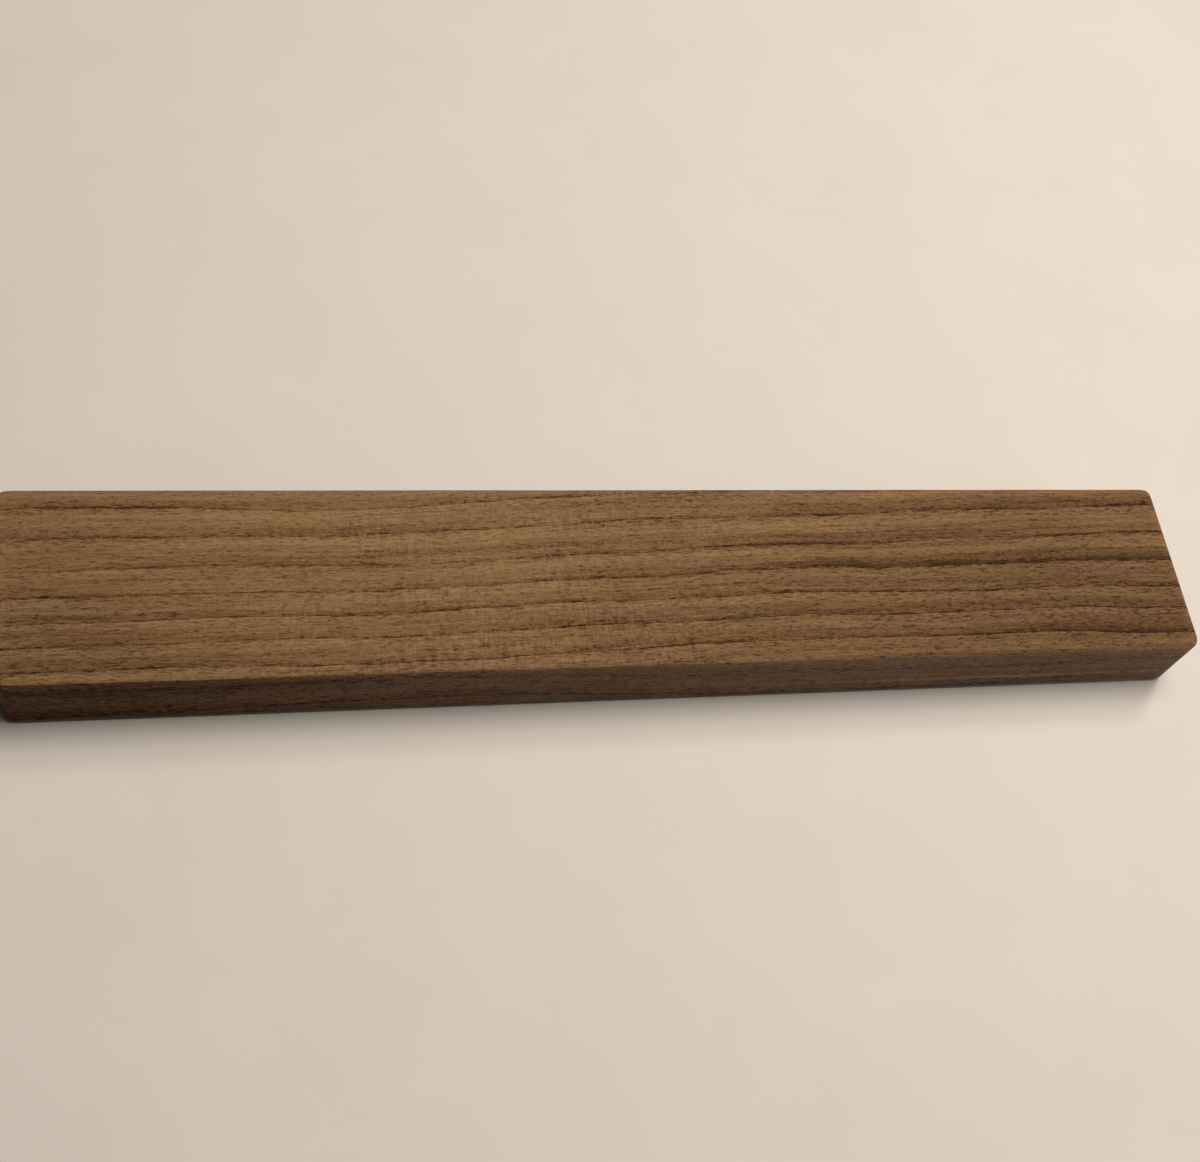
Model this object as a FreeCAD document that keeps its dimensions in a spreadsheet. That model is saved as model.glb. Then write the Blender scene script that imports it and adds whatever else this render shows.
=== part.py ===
"""Solid walnut wrist rest for a full-size keyboard, on six recessed rubber feet.

The bar is one piece of walnut with rounded corners and a rolled top edge. Six shallow round recesses
are bored in its underside. In each one a moulded rubber foot is held by a disc of double-sided tape.
The feet stand proud of the bar, so they alone touch the desk.

Frame, in millimetres: +X along the bar, +Y away from the user towards the keyboard, +Z up. The origin
is on the desk, under the middle of the bar.
"""

import FreeCAD
import Part
import Sketcher
import os

PARTS_FOLDER = "parts"

# Every driving size: its name in the sheet, its value in millimetres, and what it measures.
SIZES = [
    ("bar_length", 440.0, "length of the bar, that of a full-size keyboard"),
    ("bar_depth", 73.0, "bar, front to back"),
    ("bar_thickness", 26.0, "bar, underside to top"),
    ("corner_radius", 6.0, "corners of the bar, seen from above"),
    ("top_edge_radius", 3.0, "rolled edge round the top"),
    ("base_edge_radius", 1.0, "eased edge round the underside"),
    ("foot_diameter", 14.0, "rubber foot"),
    ("foot_height", 2.4, "rubber foot, from the desk to the tape"),
    ("foot_rim_radius", 0.6, "rounded lower rim of a foot"),
    ("tread_diameter", 8.0, "ring groove under a foot, at the middle of its width"),
    ("tread_width", 1.2, "width of that groove"),
    ("tread_depth", 0.4, "depth of that groove"),
    ("tape_thickness", 0.2, "double-sided tape between a foot and the bar"),
    ("tape_margin", 0.5, "how far the tape stays inside the foot's side"),
    ("recess_depth", 1.2, "bored recess that takes the tape and the top of a foot"),
    ("recess_clearance", 0.3, "gap round a foot in its recess"),
    ("foot_end_inset", 26.0, "end of the bar to the middle of an outer foot"),
    ("foot_side_inset", 16.0, "long side of the bar to the middle of a foot"),
]

# The feet stand in a front and a rear row of three, at these places from the middle to the outer feet.
ROWS = {"front": -1, "rear": 1}
COLUMNS = {"left": -1, "middle": 0, "right": 1}

# What follows from the sheet, as expressions.
OUTER_FOOT_X = "(Sizes.bar_length / 2 - Sizes.foot_end_inset)"
OUTER_FOOT_Y = "(Sizes.bar_depth / 2 - Sizes.foot_side_inset)"
FOOT_RADIUS = "(Sizes.foot_diameter / 2)"
TAPE_RADIUS = "(Sizes.foot_diameter / 2 - Sizes.tape_margin)"
RECESS_RADIUS = "(Sizes.foot_diameter / 2 + Sizes.recess_clearance)"
BAR_LIFT = "(Sizes.foot_height + Sizes.tape_thickness - Sizes.recess_depth)"

# A sketch's own references, as Sketcher numbers them.
ORIGIN = (-1, 1)
CENTRE = 3

SAME_PLACE = 1e-6  # mm, how near two coordinates are to be the same


def add_sheet(doc):
    """Writes the driving sizes into a spreadsheet, one named cell each."""
    sheet = doc.addObject("Spreadsheet::Sheet", "Sizes")
    for row, (name, value, meaning) in enumerate(SIZES, start=1):
        sheet.set(f"A{row}", meaning)
        sheet.set(f"B{row}", str(value))
        sheet.setAlias(f"B{row}", name)
    doc.recompute()
    return sheet


def add_body(doc, label):
    """An empty body, whose label names its file."""
    body = doc.addObject("PartDesign::Body", label)
    body.Label = label
    return body


def origin_feature(body, role):
    """One of the body's own axes or planes."""
    return next(f for f in body.Origin.OriginFeatures if f.Role == role)


def add_sketch(body, name):
    """A sketch on the body's own XY plane, where its lowest face lies."""
    sketch = body.newObject("Sketcher::SketchObject", name)
    sketch.AttachmentSupport = (origin_feature(body, "XY_Plane"), "")
    sketch.MapMode = "FlatFace"
    return sketch


def bind(sketch, constraint, expression):
    """Adds a dimension to a sketch and ties it to an expression."""
    index = sketch.addConstraint(constraint)
    sketch.setExpression(f"Constraints[{index}]", expression)


def draw_centred_rectangle(sketch, length, depth):
    """A rectangle round the sketch's origin."""
    corners = [FreeCAD.Vector(x, y, 0) for x, y in ((-1, -1), (1, -1), (1, 1), (-1, 1))]
    for side in range(4):
        sketch.addGeometry(Part.LineSegment(corners[side], corners[(side + 1) % 4]), False)
    for side in range(4):
        sketch.addConstraint(Sketcher.Constraint("Coincident", side, 2, (side + 1) % 4, 1))
        direction = "Horizontal" if side % 2 == 0 else "Vertical"
        sketch.addConstraint(Sketcher.Constraint(direction, side))
    sketch.addConstraint(Sketcher.Constraint("Symmetric", 0, 1, 1, 2, *ORIGIN))
    bind(sketch, Sketcher.Constraint("DistanceX", 0, 1, 0, 2, 2.0), length)
    bind(sketch, Sketcher.Constraint("DistanceY", 1, 1, 1, 2, 2.0), depth)


def draw_circle(sketch, radius):
    """A circle of that radius, and its index in the sketch."""
    circle = Part.Circle(FreeCAD.Vector(0, 0, 0), FreeCAD.Vector(0, 0, 1), 1.0)
    index = sketch.addGeometry(circle, False)
    bind(sketch, Sketcher.Constraint("Radius", index, 1.0), radius)
    return index


def centre_on_origin(sketch, circle):
    """Holds a circle's centre on the sketch's origin."""
    sketch.addConstraint(Sketcher.Constraint("Coincident", circle, CENTRE, *ORIGIN))


def add_pad(body, name, sketch, height):
    """Raises a sketch by a height, which is the body's first solid."""
    pad = body.newObject("PartDesign::Pad", name)
    pad.Profile = sketch
    pad.setExpression("Length", height)
    body.Document.recompute()
    return pad


def add_pocket(body, name, sketch, depth):
    """Cuts a sketch upwards into the body from its lowest face."""
    before = body.Shape.Volume
    pocket = body.newObject("PartDesign::Pocket", name)
    pocket.Profile = sketch
    pocket.Reversed = True
    pocket.setExpression("Length", depth)
    body.Document.recompute()
    if body.Shape.Volume >= before:
        raise RuntimeError(f"{name} cut nothing")
    return pocket


def add_fillet(body, name, radius, wanted):
    """Rounds every edge of the body's last feature that wanted picks."""
    last = body.Tip
    edges = [f"Edge{n}" for n, edge in enumerate(last.Shape.Edges, start=1) if wanted(edge)]
    fillet = body.newObject("PartDesign::Fillet", name)
    fillet.Base = (last, edges)
    fillet.setExpression("Radius", radius)
    body.Document.recompute()
    return fillet


def is_upright(edge):
    """Whether an edge runs straight up."""
    first, last = (vertex.Point for vertex in edge.Vertexes)
    return (last - first).cross(FreeCAD.Vector(0, 0, 1)).Length < SAME_PLACE


def lies_at(height):
    """A test of whether an edge lies at that height all along."""

    def at_height(edge):
        box = edge.BoundBox
        return abs(box.ZMin - height) < SAME_PLACE and abs(box.ZMax - height) < SAME_PLACE

    return at_height


def make_bar(doc):
    """The walnut bar: a board with rounded corners and edges, and six recesses bored underneath."""
    bar = add_body(doc, "walnut_bar")
    outline = add_sketch(bar, "BarOutline")
    draw_centred_rectangle(outline, "Sizes.bar_length", "Sizes.bar_depth")
    board = add_pad(bar, "Board", outline, "Sizes.bar_thickness")
    top = board.Shape.BoundBox.ZMax
    add_fillet(bar, "Corners", "Sizes.corner_radius", is_upright)
    add_fillet(bar, "TopEdge", "Sizes.top_edge_radius", lies_at(top))
    add_fillet(bar, "BaseEdge", "Sizes.base_edge_radius", lies_at(0.0))
    bore_recesses(bar)
    bar.setExpression("Placement.Base.z", BAR_LIFT)
    return bar


def bore_recesses(bar):
    """Bores the front left recess and repeats it along and across the bar."""
    sketch = add_sketch(bar, "RecessCircle")
    circle = draw_circle(sketch, RECESS_RADIUS)
    for direction, place in (("DistanceX", OUTER_FOOT_X), ("DistanceY", OUTER_FOOT_Y)):
        bind(sketch, Sketcher.Constraint(direction, circle, CENTRE, *ORIGIN, 1.0), place)
    before = bar.Shape.Volume
    recess = add_pocket(bar, "Recess", sketch, "Sizes.recess_depth")
    one_recess = before - bar.Shape.Volume
    rows = bar.newObject("PartDesign::LinearPattern", "RecessRows")
    rows.Originals = [recess]
    rows.Direction = (origin_feature(bar, "X_Axis"), [""])
    rows.Occurrences = len(COLUMNS)
    rows.setExpression("Length", f"2 * {OUTER_FOOT_X}")
    rows.Direction2 = (origin_feature(bar, "Y_Axis"), [""])
    rows.Occurrences2 = len(ROWS)
    rows.setExpression("Length2", f"2 * {OUTER_FOOT_Y}")
    bar.Tip = rows
    doc = bar.Document
    doc.recompute()
    bored = round((before - bar.Shape.Volume) / one_recess)
    if bored != len(ROWS) * len(COLUMNS):
        raise RuntimeError(f"{bored} recesses were bored")


def place_under_bar(body, column, row):
    """Puts a body at one of the feet's places in plan."""
    body.setExpression("Placement.Base.x", f"{COLUMNS[column]} * {OUTER_FOOT_X}")
    body.setExpression("Placement.Base.y", f"{ROWS[row]} * {OUTER_FOOT_Y}")


def make_foot(doc, column, row):
    """A moulded rubber foot: a disc with a rounded lower rim and a ring groove for grip."""
    foot = add_body(doc, f"foot_{row}_{column}")
    outline = add_sketch(foot, "FootOutline")
    centre_on_origin(outline, draw_circle(outline, FOOT_RADIUS))
    add_pad(foot, "FootDisc", outline, "Sizes.foot_height")
    add_fillet(foot, "FootRim", "Sizes.foot_rim_radius", lies_at(0.0))
    tread = add_sketch(foot, "TreadRing")
    for side in ("-", "+"):
        edge = f"(Sizes.tread_diameter {side} Sizes.tread_width) / 2"
        centre_on_origin(tread, draw_circle(tread, edge))
    add_pocket(foot, "Tread", tread, "Sizes.tread_depth")
    place_under_bar(foot, column, row)
    return foot


def make_tape(doc, column, row):
    """The disc of double-sided tape between a foot and the roof of its recess."""
    tape = add_body(doc, f"tape_{row}_{column}")
    outline = add_sketch(tape, "TapeOutline")
    centre_on_origin(outline, draw_circle(outline, TAPE_RADIUS))
    add_pad(tape, "TapeDisc", outline, "Sizes.tape_thickness")
    place_under_bar(tape, column, row)
    tape.setExpression("Placement.Base.z", "Sizes.foot_height")
    return tape


def check(doc, bodies):
    """Stops if any object failed, or any sub-part isn't one valid solid."""
    for thing in doc.Objects:
        if {"Invalid", "Error"} & set(thing.State):
            raise RuntimeError(f"{thing.Label} failed: {thing.State}")
    for body in bodies:
        shape = body.Shape
        if shape.isNull() or not shape.isValid() or len(shape.Solids) != 1:
            raise RuntimeError(f"{body.Label} isn't one valid solid")


def export(bodies):
    """Writes each sub-part to its own STEP file."""
    os.makedirs(PARTS_FOLDER, exist_ok=True)
    for body in bodies:
        body.Shape.exportStep(os.path.join(PARTS_FOLDER, body.Label + ".step"))
        print(f"{body.Label}: {body.Shape.Volume:.1f} mm3")


def main():
    """Builds the wrist rest and writes its parts."""
    doc = FreeCAD.newDocument("WristRest")
    add_sheet(doc)
    bodies = [make_bar(doc)]
    for row in ROWS:
        for column in COLUMNS:
            bodies.append(make_foot(doc, column, row))
            bodies.append(make_tape(doc, column, row))
    doc.recompute()
    check(doc, bodies)
    export(bodies)


main()
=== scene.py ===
"""Dresses the walnut wrist rest: the bar in oiled walnut, its rubber feet and the tape that holds them.

Everything is in metres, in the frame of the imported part: +X along the bar, +Y away from the user, +Z up,
with the origin on the desk under the middle of the bar. The wood's own pattern is worked out in
millimetres, because that is how its rings and pores are measured.
"""

from __future__ import annotations

import logging
import math
from dataclasses import dataclass
from enum import Enum
from functools import cached_property
from typing import Sequence

import bmesh
import bpy
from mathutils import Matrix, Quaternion, Vector, noise

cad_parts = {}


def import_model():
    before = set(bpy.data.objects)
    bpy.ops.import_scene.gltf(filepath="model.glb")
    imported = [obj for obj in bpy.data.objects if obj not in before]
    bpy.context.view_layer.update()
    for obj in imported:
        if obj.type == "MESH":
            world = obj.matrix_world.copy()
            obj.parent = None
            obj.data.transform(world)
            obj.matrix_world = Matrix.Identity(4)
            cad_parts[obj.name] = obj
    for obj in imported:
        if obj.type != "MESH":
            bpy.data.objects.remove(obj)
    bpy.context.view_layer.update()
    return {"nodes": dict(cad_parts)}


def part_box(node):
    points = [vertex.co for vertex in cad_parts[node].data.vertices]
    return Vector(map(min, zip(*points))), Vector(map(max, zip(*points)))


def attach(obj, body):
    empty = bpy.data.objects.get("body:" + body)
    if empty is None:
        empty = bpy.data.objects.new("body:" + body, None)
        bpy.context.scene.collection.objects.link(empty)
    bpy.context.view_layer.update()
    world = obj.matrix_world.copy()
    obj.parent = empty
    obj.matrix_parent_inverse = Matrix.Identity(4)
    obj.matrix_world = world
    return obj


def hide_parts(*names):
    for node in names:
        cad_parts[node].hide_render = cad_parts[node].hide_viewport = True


LOG = logging.getLogger("wrist_rest")
MM = 0.001
ONLY_BODY = "root"

Colour = tuple[float, float, float, float]
Point = tuple[float, float, float]
Outline = list[tuple[float, float]]


def colour(red: float, green: float, blue: float) -> Colour:
    """An opaque colour, in linear light."""
    return (red, green, blue, 1.0)


# Shader wiring


class SocketKind(Enum):
    """What a node group's socket carries."""

    VALUE = "NodeSocketFloat"
    COLOUR = "NodeSocketColor"


class Signal:
    """Something that varies over a surface: the output of a shader node, with arithmetic."""

    def __init__(self, graph: Graph, socket: bpy.types.NodeSocket) -> None:
        """Keeps the output and the graph that it belongs to."""
        self.graph = graph
        self.socket = socket

    def __add__(self, other: Signal | float) -> Signal:
        """Their sum."""
        return self.graph.math("ADD", self, other)

    def __radd__(self, other: float) -> Signal:
        """Their sum."""
        return self.graph.math("ADD", other, self)

    def __sub__(self, other: Signal | float) -> Signal:
        """This less the other."""
        return self.graph.math("SUBTRACT", self, other)

    def __rsub__(self, other: float) -> Signal:
        """The other less this."""
        return self.graph.math("SUBTRACT", other, self)

    def __mul__(self, other: Signal | float) -> Signal:
        """Their product."""
        return self.graph.math("MULTIPLY", self, other)

    def __rmul__(self, other: float) -> Signal:
        """Their product."""
        return self.graph.math("MULTIPLY", other, self)

    def __truediv__(self, other: Signal | float) -> Signal:
        """This over the other."""
        return self.graph.math("DIVIDE", self, other)

    def __pow__(self, power: float) -> Signal:
        """This raised to a power."""
        return self.graph.math("POWER", self, power)

    def __abs__(self) -> Signal:
        """Its size without its sign."""
        return self.graph.math("ABSOLUTE", self)

    def whole(self) -> Signal:
        """The whole number below it."""
        return self.graph.math("FLOOR", self)

    def rest(self) -> Signal:
        """What is left over that whole number."""
        return self.graph.math("FRACT", self)

    def least(self, other: Signal | float) -> Signal:
        """The smaller of the two."""
        return self.graph.math("MINIMUM", self, other)

    def most(self, other: Signal | float) -> Signal:
        """The larger of the two."""
        return self.graph.math("MAXIMUM", self, other)

    def matches(self, other: float, within: float) -> Signal:
        """One where it is that near to the other, and zero elsewhere."""
        return self.graph.math("COMPARE", self, other, within)

    def rising(self, start: Signal | float, end: Signal | float) -> Signal:
        """A smooth rise from zero to one.

        Args:
            start: The value up to which it is zero.
            end: The value from which it is one.

        Returns:
            The height of the rise at this signal's value.
        """
        node = self.graph.node("ShaderNodeMapRange", interpolation_type="SMOOTHSTEP")
        self.graph.feed(node.inputs["Value"], self)
        self.graph.feed(node.inputs["From Min"], start)
        self.graph.feed(node.inputs["From Max"], end)
        return Signal(self.graph, node.outputs["Result"])

    def falling(self, start: Signal | float, end: Signal | float) -> Signal:
        """A smooth fall: one before the start, and zero after the end."""
        return 1.0 - self.rising(start, end)


Place = tuple[Signal, Signal, Signal]
Spacing = Sequence[Signal | float]


class Graph:
    """A shader tree that is being wired, with a short call for each kind of node used here."""

    NODES_IN_COLUMN = 8
    COLUMN_STEP = 200
    ROW_STEP = 190

    def __init__(self, tree: bpy.types.NodeTree) -> None:
        """Keeps the tree."""
        self.tree = tree

    def node(self, kind: str, **settings: object) -> bpy.types.Node:
        """Adds a node, in the next free place of the layout.

        Args:
            kind: The type of node.
            settings: The node's own properties, apart from its sockets.

        Returns:
            The node.
        """
        column, row = divmod(len(self.tree.nodes), self.NODES_IN_COLUMN)
        node = self.tree.nodes.new(kind)
        node.location = (column * self.COLUMN_STEP, -row * self.ROW_STEP)
        for name, value in settings.items():
            setattr(node, name, value)
        return node

    def feed(self, socket: bpy.types.NodeSocket, value: Signal | float | Colour | Point) -> None:
        """Gives a node's input its value.

        Args:
            socket: The input.
            value: A signal to link to it, or a fixed value to set it to.
        """
        if isinstance(value, Signal):
            self.tree.links.new(value.socket, socket)
        else:
            socket.default_value = value

    def math(self, operation: str, *values: Signal | float) -> Signal:
        """The result of one arithmetic step.

        Args:
            operation: The type of step.
            values: What it works on, in order.

        Returns:
            The result.
        """
        node = self.node("ShaderNodeMath", operation=operation)
        for socket, value in zip(node.inputs, values):
            self.feed(socket, value)
        return Signal(self, node.outputs["Value"])

    def object_place(self) -> Place:
        """Finds the surface's place.

        Returns:
            Its place in the part's frame, in millimetres.
        """
        place = Signal(self, self.node("ShaderNodeTexCoord").outputs["Object"])
        x, y, z = self.split(place)
        return x / MM, y / MM, z / MM

    def split(self, vector: Signal) -> Place:
        """Takes a vector apart.

        Args:
            vector: The vector.

        Returns:
            Its three parts.
        """
        node = self.node("ShaderNodeSeparateXYZ")
        self.feed(node.inputs["Vector"], vector)
        x, y, z = (Signal(self, node.outputs[axis]) for axis in "XYZ")
        return x, y, z

    def cells(self, place: Place, spacing: Spacing) -> Signal:
        """Counts a place in cells.

        Args:
            place: The place, in millimetres.
            spacing: The cell's size along each axis, in millimetres.

        Returns:
            The place as a vector, in cells.
        """
        node = self.node("ShaderNodeCombineXYZ")
        for axis, part, size in zip("XYZ", place, spacing):
            self.feed(node.inputs[axis], part / size)
        return Signal(self, node.outputs["Vector"])

    def noise(self, place: Place, spacing: Spacing, detail: float = 2.0, roughness: float = 0.5) -> Signal:
        """Smooth noise about zero, mostly within a quarter of it, with one feature to each cell."""
        return Signal(self, self._noise_node(place, spacing, detail, roughness).outputs["Fac"]) - 0.5

    def noise_vector(self, place: Place, spacing: Spacing, detail: float) -> Place:
        """Three separate smooth noises.

        Args:
            place: The place, in millimetres.
            spacing: The size of one feature along each axis.
            detail: How many finer layers it has.

        Returns:
            The noises, each about zero.
        """
        node = self._noise_node(place, spacing, detail, 0.5)
        x, y, z = self.split(Signal(self, node.outputs["Color"]))
        return x - 0.5, y - 0.5, z - 0.5

    def _noise_node(self, place: Place, spacing: Spacing, detail: float, roughness: float) -> bpy.types.Node:
        """Adds a noise texture.

        Args:
            place: The place, in millimetres.
            spacing: The size of one feature along each axis.
            detail: How many finer layers it has.
            roughness: How strong the finer layers are.

        Returns:
            The texture's node.
        """
        node = self.node("ShaderNodeTexNoise")
        self.feed(node.inputs["Vector"], self.cells(place, spacing))
        self.feed(node.inputs["Scale"], 1.0)
        self.feed(node.inputs["Detail"], detail)
        self.feed(node.inputs["Roughness"], roughness)
        return node

    def grains(self, place: Place, spacing: Spacing) -> tuple[Signal, Signal]:
        """Scatters one grain in each cell.

        Args:
            place: The place, in millimetres.
            spacing: The size of a cell along each axis.

        Returns:
            How far the nearest grain's middle is, in cells, and a number from 0 to 1 that is its own.
        """
        node = self.node("ShaderNodeTexVoronoi")
        self.feed(node.inputs["Vector"], self.cells(place, spacing))
        self.feed(node.inputs["Scale"], 1.0)
        own, _, _ = self.split(Signal(self, node.outputs["Color"]))
        return Signal(self, node.outputs["Distance"]), own

    def by_chance(self, number: Signal) -> Signal:
        """Draws a number that looks like chance.

        Args:
            number: What the draw is made for.

        Returns:
            A number from 0 to 1 that is the same wherever the given number is.
        """
        node = self.node("ShaderNodeTexWhiteNoise", noise_dimensions="1D")
        self.feed(node.inputs["W"], number)
        return Signal(self, node.outputs["Value"])

    def shades(self, amount: Signal, stops: Sequence[tuple[float, Colour]]) -> Signal:
        """Looks a colour up in a row of stops.

        Args:
            amount: How far along the row, from 0 to 1.
            stops: Each stop's place in the row and its colour.

        Returns:
            The colour there.
        """
        node = self.node("ShaderNodeValToRGB")
        ramp = node.color_ramp
        while len(ramp.elements) < len(stops):
            ramp.elements.new(0.5)
        for element, (position, shade) in zip(ramp.elements, stops):
            element.position = position
            element.color = shade
        self.feed(node.inputs["Fac"], amount)
        return Signal(self, node.outputs["Color"])

    def blend(self, amount: Signal, first: Signal | Colour, second: Signal | Colour) -> Signal:
        """Mixes two colours.

        Args:
            amount: How much of the second there is, from 0 to 1.
            first: The colour at 0.
            second: The colour at 1.

        Returns:
            The mixed colour.
        """
        node = self.node("ShaderNodeMix", data_type="RGBA")
        sockets = {socket.identifier: socket for socket in node.inputs}
        self.feed(sockets["Factor_Float"], amount)
        self.feed(sockets["A_Color"], first)
        self.feed(sockets["B_Color"], second)
        results = {socket.type: socket for socket in node.outputs}
        return Signal(self, results["RGBA"])

    def bump(self, height: Signal, depth: float, strength: float) -> Signal:
        """Gives a surface fine relief.

        Args:
            height: The relief, from 0 to 1.
            depth: How deep that is, in metres.
            strength: How much of it shows.

        Returns:
            The surface's tilted normal.
        """
        node = self.node("ShaderNodeBump")
        self.feed(node.inputs["Strength"], strength)
        self.feed(node.inputs["Distance"], depth)
        self.feed(node.inputs["Height"], height)
        return Signal(self, node.outputs["Normal"])


class PatternGroup:
    """A shader node group: a pattern with named inputs and outputs, built once for all the materials."""

    def __init__(self, name: str, inputs: dict[str, float], outputs: dict[str, SocketKind]) -> None:
        """Makes the group's tree and its sockets.

        Args:
            name: The group's name.
            inputs: Each input's name and its usual value.
            outputs: Each output's name and kind.
        """
        self.tree = bpy.data.node_groups.new(name, "ShaderNodeTree")
        for label, usual in inputs.items():
            socket = self.tree.interface.new_socket(
                name=label, in_out="INPUT", socket_type=SocketKind.VALUE.value
            )
            socket.default_value = usual
        for label, kind in outputs.items():
            self.tree.interface.new_socket(name=label, in_out="OUTPUT", socket_type=kind.value)
        self.graph = Graph(self.tree)
        self._inputs = self.graph.node("NodeGroupInput")
        self._outputs = self.graph.node("NodeGroupOutput")

    def given(self, label: str) -> Signal:
        """An input, as seen inside the group."""
        return Signal(self.graph, self._inputs.outputs[label])

    def give(self, label: str, value: Signal) -> None:
        """Sends a signal out of the group."""
        self.graph.feed(self._outputs.inputs[label], value)

    def use(self, graph: Graph, **values: float) -> bpy.types.Node:
        """Places the group in a material.

        Args:
            graph: The material's graph.
            values: The inputs to set, by name, with a low line for each space.

        Returns:
            The group's node.
        """
        node = graph.node("ShaderNodeGroup", node_tree=self.tree)
        for label, value in values.items():
            graph.feed(node.inputs[label.replace("_", " ")], value)
        return node


# The patterns


@dataclass(frozen=True)
class Growth:
    """Where a point of the board lies, in the bar and in the tree that it was cut from.

    Attributes:
        graph: The graph that the signals belong to.
        place: The point's place in the part's frame, in millimetres.
        wood: Where it would lie if the tree had grown straight.
        radius: How far it is from the pith, in millimetres.
        turn_round: The way to it round the pith, as an angle.
        ring: The year's growth that it is in, as a whole number.
        share: How far through that year's growth it is, from 0 to 1.
        on_ends: One on the ends of the bar, which drink more oil.
        on_sides: One on the long sides.
    """

    graph: Graph
    place: Place
    wood: Place
    radius: Signal
    turn_round: Signal
    ring: Signal
    share: Signal
    on_ends: Signal
    on_sides: Signal


@dataclass(frozen=True)
class WalnutGrain:
    """The inside of one walnut board, as a solid pattern, so that every face shows the same rings.

    The rings run round a pith that lay below the board and behind it. Lengths are in millimetres. A
    spacing is the size of one feature along the board, across it and up. A tone is a share of the way
    from the palest wood to the bottom of an open pore.
    """

    bar_middle: Point
    bar_size: Point
    pith_y: float = 70.0
    pith_z: float = -38.0
    ring_width: float = 7.45
    ring_start: float = -0.36
    heart_ring: float = 12.0
    swing: float = 9.0
    swing_from: float = -130.0
    swing_to: float = 75.0
    fan_from: float = 60.0
    lean: float = 13.0
    slow_wander: float = 3.2
    slow_spacing: Point = (75.0, 26.0, 26.0)
    quick_wander: float = 0.35
    quick_spacing: Point = (14.0, 5.0, 5.0)
    lesser_ring_width: float = 1.35
    ground_tone: float = 0.199
    ring_line_tone: float = 0.28
    lesser_line_tone: float = 0.22
    deep_pore_tone: float = 0.32
    fine_pore_tone: float = 0.28
    end_tone: float = 0.16
    # painted highlight: how much paler the rolled top edge is, partly burnish
    rubbed_and_highlight_tone: float = -0.10
    pale_band_tone: float = -0.36

    # From the palest early wood to the bottom of an open pore, in linear light: the top and the ends
    # under oil, the long sides under oil in a painted cool shade, and the raw wood in the recesses.
    OILED = (
        (0.0, colour(0.345, 0.204, 0.096)),
        (0.25, colour(0.260, 0.147, 0.065)),
        (0.50, colour(0.177, 0.094, 0.0385)),
        (0.75, colour(0.095, 0.044, 0.0145)),
        (1.0, colour(0.034, 0.012, 0.003)),
    )
    OILED_PAINTED_COOL_SHADE = (
        (0.0, colour(0.340, 0.196, 0.108)),
        (0.25, colour(0.257, 0.143, 0.076)),
        (0.50, colour(0.174, 0.093, 0.047)),
        (0.75, colour(0.092, 0.043, 0.019)),
        (1.0, colour(0.030, 0.011, 0.004)),
    )
    RAW = (
        (0.0, colour(0.400, 0.270, 0.165)),
        (0.50, colour(0.250, 0.160, 0.095)),
        (1.0, colour(0.070, 0.042, 0.026)),
    )

    @cached_property
    def group(self) -> PatternGroup:
        """Builds the pattern once.

        Returns:
            A node group that gives the wood's colour, roughness, wax and height.
        """
        inputs = {"Oil": 1.0, "Open Pores": 1.0, "Rubbed Edge": 1.0}
        outputs = {
            "Color": SocketKind.COLOUR,
            "Roughness": SocketKind.VALUE,
            "Wax": SocketKind.VALUE,
            "Height": SocketKind.VALUE,
        }
        made = PatternGroup("Walnut grain", inputs, outputs)
        at = self._growth(made.graph)
        oil, open_pores = made.given("Oil"), made.given("Open Pores")
        # the rolled top edge is painted paler: partly burnish, partly a painted highlight where it catches
        # the light
        rubbed = self._rubbed_edge(at) * made.given("Rubbed Edge")
        fibres, ripple, line = self._fibres(at), self._ripple(at), self._ring_line(at)
        fine_pores, deep_pores = self._pores(at)
        calm = 1.0 - at.place[0].rising(50.0, 190.0) * 0.28
        lines = (line * self.ring_line_tone).most(self._lesser_lines(at) * self.lesser_line_tone)
        deep = deep_pores * open_pores * (at.on_sides * 0.12 + self.deep_pore_tone)
        fine = fine_pores * open_pores * (at.on_sides * 0.16 + self.fine_pore_tone)
        ground = self._ground(at, fibres * calm, ripple) + rubbed * self.rubbed_and_highlight_tone
        tone = (ground + lines.most(deep) * calm + fine).most(0.0).least(1.0)
        made.give("Color", self._colour(at, tone, oil))
        open_wood = (fine_pores + deep_pores).least(1.0)
        rough = 0.60 + open_wood * 0.20 + fibres * 0.30 + at.on_ends * 0.12 - rubbed * 0.08
        made.give("Roughness", rough + (1.0 - oil) * 0.3)
        wax = at.on_sides * at.place[0].rising(-240.0, 70.0) * (1.0 - open_wood * 0.5)
        made.give("Wax", wax * oil)
        made.give("Height", 0.7 + fibres * 0.35 + ripple * 0.6 - line * 0.1 - open_wood * 0.7)
        return made

    def _growth(self, graph: Graph) -> Growth:
        """Finds where the surface's point lies.

        Args:
            graph: The group's graph.

        Returns:
            Its place in the bar and in the tree, and how the bar's surface cuts the wood there.
        """
        place = graph.object_place()
        wood = self._straightened(graph, place)
        across, up = wood[1] - self.pith_y, wood[2] - self.pith_z
        radius = graph.math("SQRT", across * across + up * up)
        turn_round = graph.math("ARCTAN2", up, across)
        ring, share = self._rings(graph, place, wood, radius)
        normal = Signal(graph, graph.node("ShaderNodeTexCoord").outputs["Normal"])
        endwise, sideways, _ = graph.split(normal)
        on_ends, on_sides = abs(endwise).rising(0.55, 0.95), abs(sideways).rising(0.35, 0.90)
        return Growth(graph, place, wood, radius, turn_round, ring, share, on_ends, on_sides)

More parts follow.
